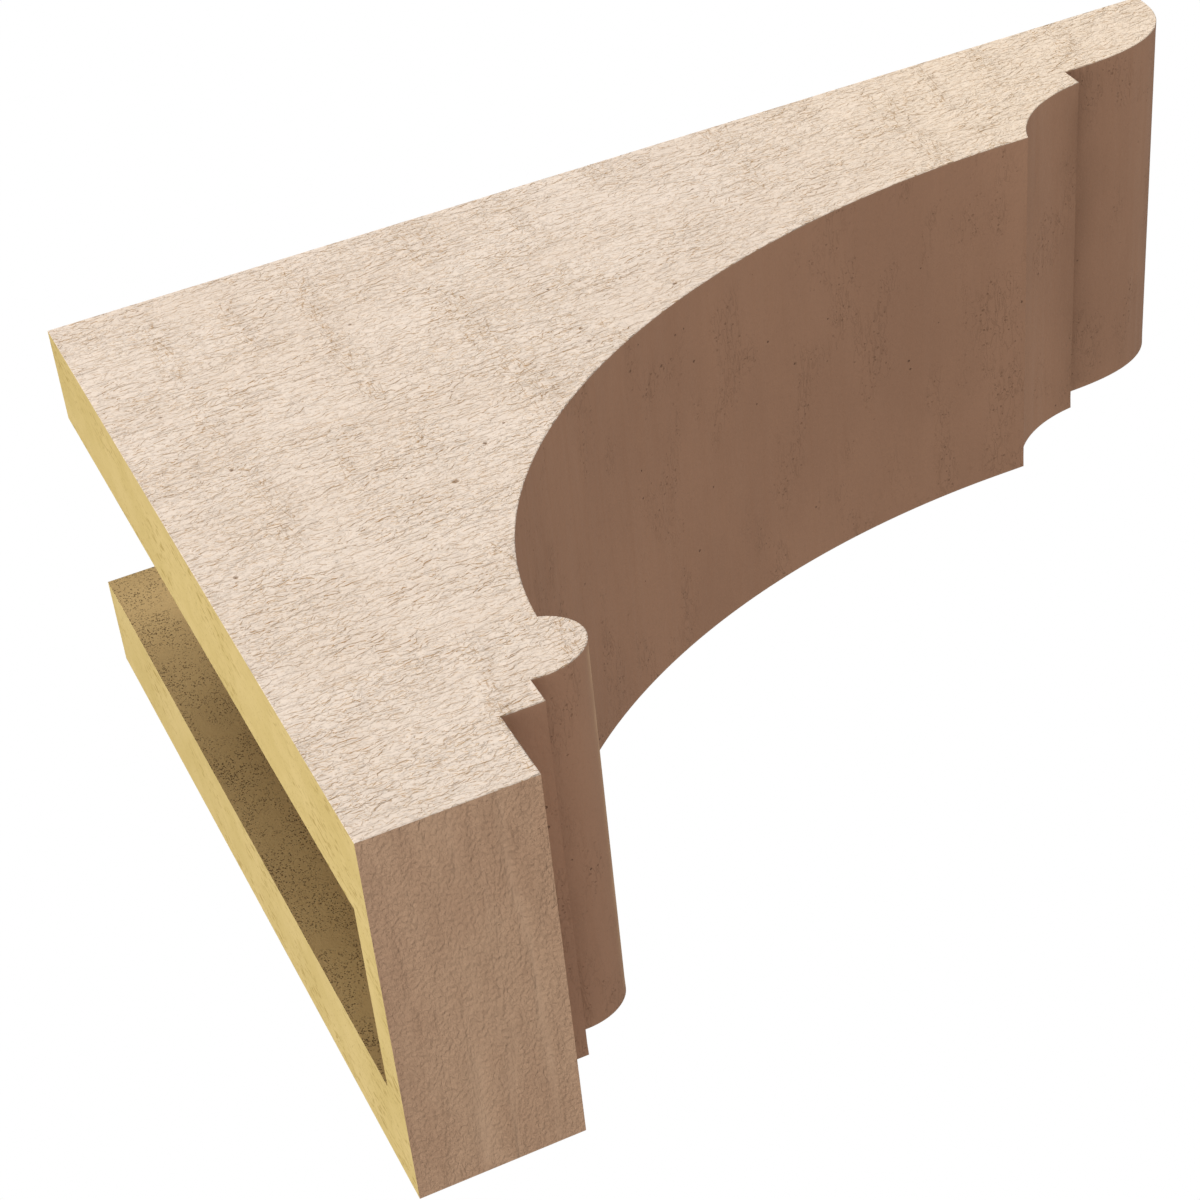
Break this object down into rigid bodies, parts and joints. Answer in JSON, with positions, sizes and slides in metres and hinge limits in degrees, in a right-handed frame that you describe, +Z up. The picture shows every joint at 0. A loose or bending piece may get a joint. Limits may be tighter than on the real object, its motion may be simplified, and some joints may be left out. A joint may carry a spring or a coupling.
{
  "type": "corbel",
  "caption": "Large wall corbel with a long concave sweep, a bead and stepped foot, a cove and a rounded nose, hollow and open at its back and top.",
  "frame": {"origin": "middle of the bottom strip of the back rim, on the flat back face that lies against the wall", "axes": "+X across the width, +Y into the wall so the corbel stands out along -Y, +Z up"},
  "size_m": [0.2032, 0.6096, 0.4064],
  "materials": {
    "primed_foam": "tan primer on moulded rigid foam with a rough sawn wood surface"
  },
  "bodies": {
    "root": {"corbel": "primed_foam"}
  },
  "joints": []
}
